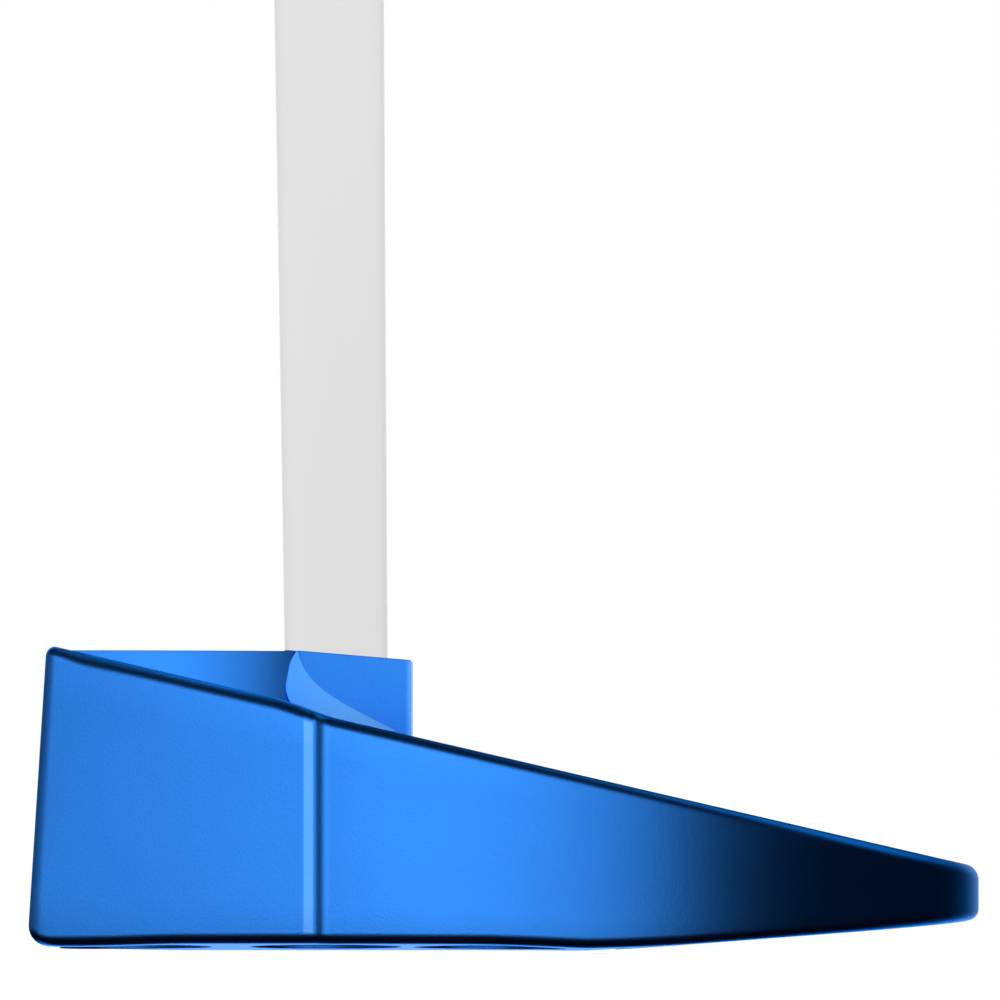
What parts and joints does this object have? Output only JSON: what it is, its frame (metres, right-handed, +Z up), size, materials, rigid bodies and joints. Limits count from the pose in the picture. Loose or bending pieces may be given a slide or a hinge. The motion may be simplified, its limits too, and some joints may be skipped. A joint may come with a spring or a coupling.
{
  "type": "golf putter",
  "caption": "Mallet golf putter with a milled half-moon head, threaded sole weights, a tapered shaft in a centre riser and a putter grip.",
  "frame": {"origin": "on the flat of the sole, on the centre line, 36 mm behind the leading edge", "axes": "+Z up with the club soled at address, +X from the face to the tail, +Y from the heel to the toe; a right-handed club, so the shaft leans towards -Y"},
  "size_m": [0.0842, 0.3532, 0.8148],
  "materials": {
    "anodised_head": "bead-blasted blue anodised 6061 aluminium, satin",
    "shaft_lacquer": "pale satin lacquer on a tapered steel tube",
    "epoxy": "cured black shafting epoxy",
    "cork_plug": "pressed cork",
    "tape": "double-sided paper grip tape",
    "grip_rubber": "soft matt moulded rubber",
    "grip_cap_plastic": "moulded cap",
    "sight_paint": "white paint filling a milled groove",
    "weight_steel": "turned steel slug with a blue finish"
  },
  "bodies": {
    "club": {"head_body": "anodised_head", "shaft": "shaft_lacquer", "shaft_bond": "epoxy", "shaft_tip_plug": "cork_plug", "grip_tape": "tape", "grip_sleeve": "grip_rubber", "grip_cap": "grip_cap_plastic", "sight_line_centre": "sight_paint", "sight_line_heel": "sight_paint", "sight_line_toe": "sight_paint", "sight_line_neck": "sight_paint"},
    "weight_heel_1": {"sole_weight_heel_1": "weight_steel"},
    "weight_toe_1": {"sole_weight_toe_1": "weight_steel"},
    "weight_heel_2": {"sole_weight_heel_2": "weight_steel"},
    "weight_toe_2": {"sole_weight_toe_2": "weight_steel"},
    "weight_heel_3": {"sole_weight_heel_3": "weight_steel"},
    "weight_toe_3": {"sole_weight_toe_3": "weight_steel"},
    "weight_heel_4": {"sole_weight_heel_4": "weight_steel"},
    "weight_toe_4": {"sole_weight_toe_4": "weight_steel"},
    "weight_heel_5": {"sole_weight_heel_5": "weight_steel"},
    "weight_toe_5": {"sole_weight_toe_5": "weight_steel"}
  },
  "joints": [
    {"name": "weight_heel_1_out", "type": "slide", "parent": "club", "child": "weight_heel_1", "axis": [0, -0.0455, -0.999], "range_m": [0, 0.012]},
    {"name": "weight_toe_1_out", "type": "slide", "parent": "club", "child": "weight_toe_1", "axis": [0, 0.0455, -0.999], "range_m": [0, 0.012]},
    {"name": "weight_heel_2_out", "type": "slide", "parent": "club", "child": "weight_heel_2", "axis": [0, -0.0455, -0.999], "range_m": [0, 0.012]},
    {"name": "weight_toe_2_out", "type": "slide", "parent": "club", "child": "weight_toe_2", "axis": [0, 0.0455, -0.999], "range_m": [0, 0.012]},
    {"name": "weight_heel_3_out", "type": "slide", "parent": "club", "child": "weight_heel_3", "axis": [0, -0.0455, -0.999], "range_m": [0, 0.012]},
    {"name": "weight_toe_3_out", "type": "slide", "parent": "club", "child": "weight_toe_3", "axis": [0, 0.0455, -0.999], "range_m": [0, 0.012]},
    {"name": "weight_heel_4_out", "type": "slide", "parent": "club", "child": "weight_heel_4", "axis": [0.0767, -0.0313, -0.9966], "range_m": [0, 0.012]},
    {"name": "weight_toe_4_out", "type": "slide", "parent": "club", "child": "weight_toe_4", "axis": [0.0767, 0.0313, -0.9966], "range_m": [0, 0.012]},
    {"name": "weight_heel_5_out", "type": "slide", "parent": "club", "child": "weight_heel_5", "axis": [0.0768, 0, -0.997], "range_m": [0, 0.012]},
    {"name": "weight_toe_5_out", "type": "slide", "parent": "club", "child": "weight_toe_5", "axis": [0.0768, 0, -0.997], "range_m": [0, 0.012]}
  ]
}
